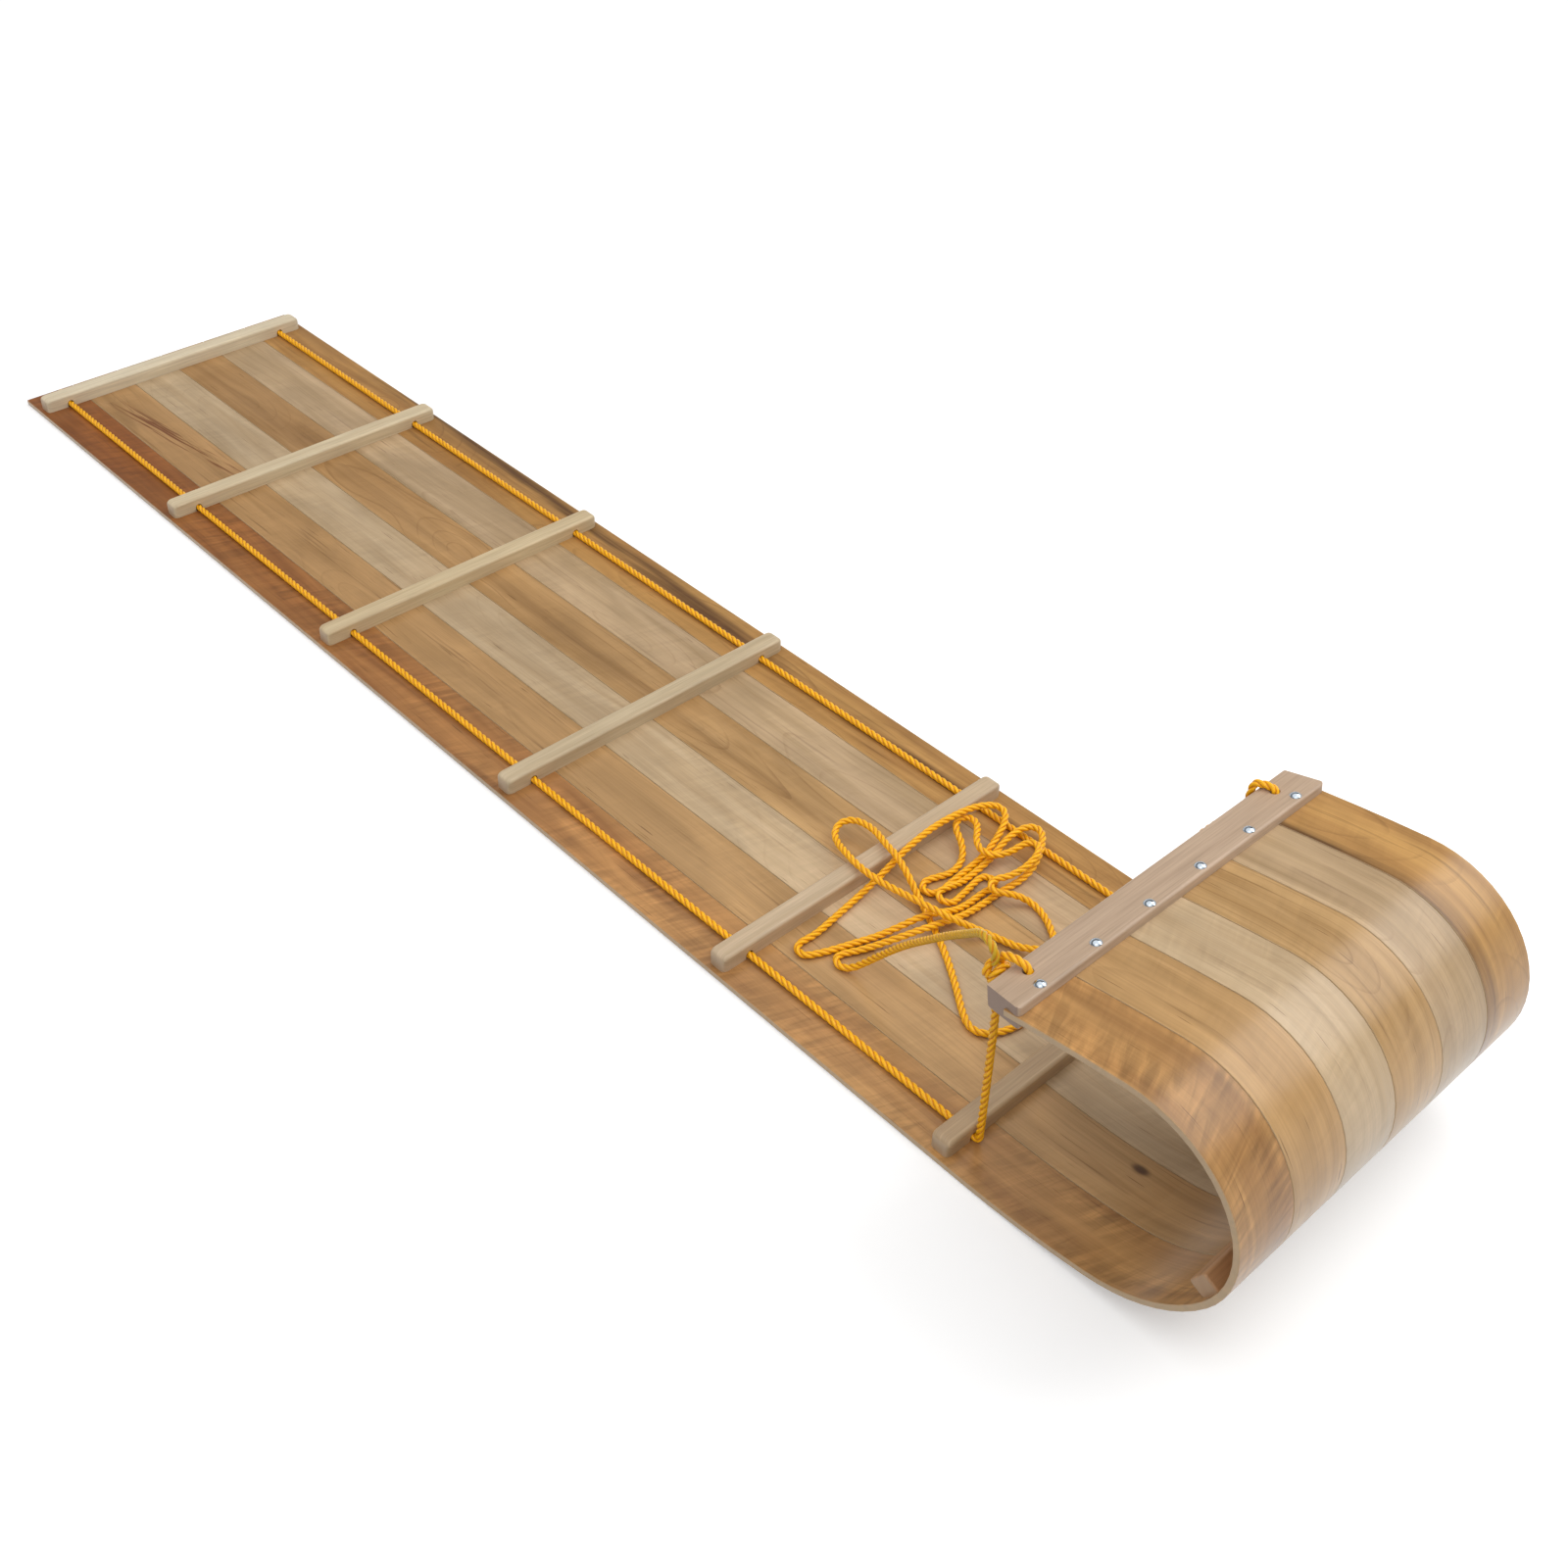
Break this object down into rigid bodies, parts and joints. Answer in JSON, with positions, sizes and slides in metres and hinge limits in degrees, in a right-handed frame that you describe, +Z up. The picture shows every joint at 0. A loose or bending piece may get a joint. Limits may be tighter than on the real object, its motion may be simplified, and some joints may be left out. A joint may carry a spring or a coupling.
{
  "type": "toboggan",
  "caption": "Flat-bottomed wooden sled of thin bent slats with a curled nose, crossbars, a grooved head bar, ropes along both sides and a loose pull rope.",
  "frame": {"origin": "on the floor under the middle of the overall length and width of the sled, without the pull rope", "axes": "+X points at the curled nose, +Z is up, and +Y is to the rider's left"},
  "size_m": [2.2826, 0.4572, 0.2916],
  "materials": {
    "slat_1_maple": "satin varnish over steam-bent maple",
    "slat_2_maple": "satin varnish over steam-bent maple",
    "slat_3_maple": "satin varnish over steam-bent maple",
    "slat_4_maple": "satin varnish over steam-bent maple",
    "slat_5_maple": "satin varnish over steam-bent maple",
    "slat_6_maple": "satin varnish over steam-bent maple",
    "bar_maple": "sanded pale maple under satin varnish",
    "head_bar_maple": "sanded maple under satin varnish",
    "twisted_rope": "yellow three-strand twisted polypropylene"
  },
  "bodies": {
    "root": {"slat_1": "slat_1_maple", "slat_2": "slat_2_maple", "slat_3": "slat_3_maple", "slat_4": "slat_4_maple", "slat_5": "slat_5_maple", "slat_6": "slat_6_maple", "crossbar_1": "bar_maple", "crossbar_2": "bar_maple", "crossbar_3": "bar_maple", "crossbar_4": "bar_maple", "crossbar_5": "bar_maple", "crossbar_6": "bar_maple", "curl_bar": "bar_maple", "head_bar": "head_bar_maple", "side_rope_near": "twisted_rope", "head_knot_near": "twisted_rope", "tail_knot_near": "twisted_rope", "side_rope_far": "twisted_rope", "head_knot_far": "twisted_rope", "tail_knot_far": "twisted_rope", "pull_rope": "twisted_rope"}
  },
  "joints": []
}
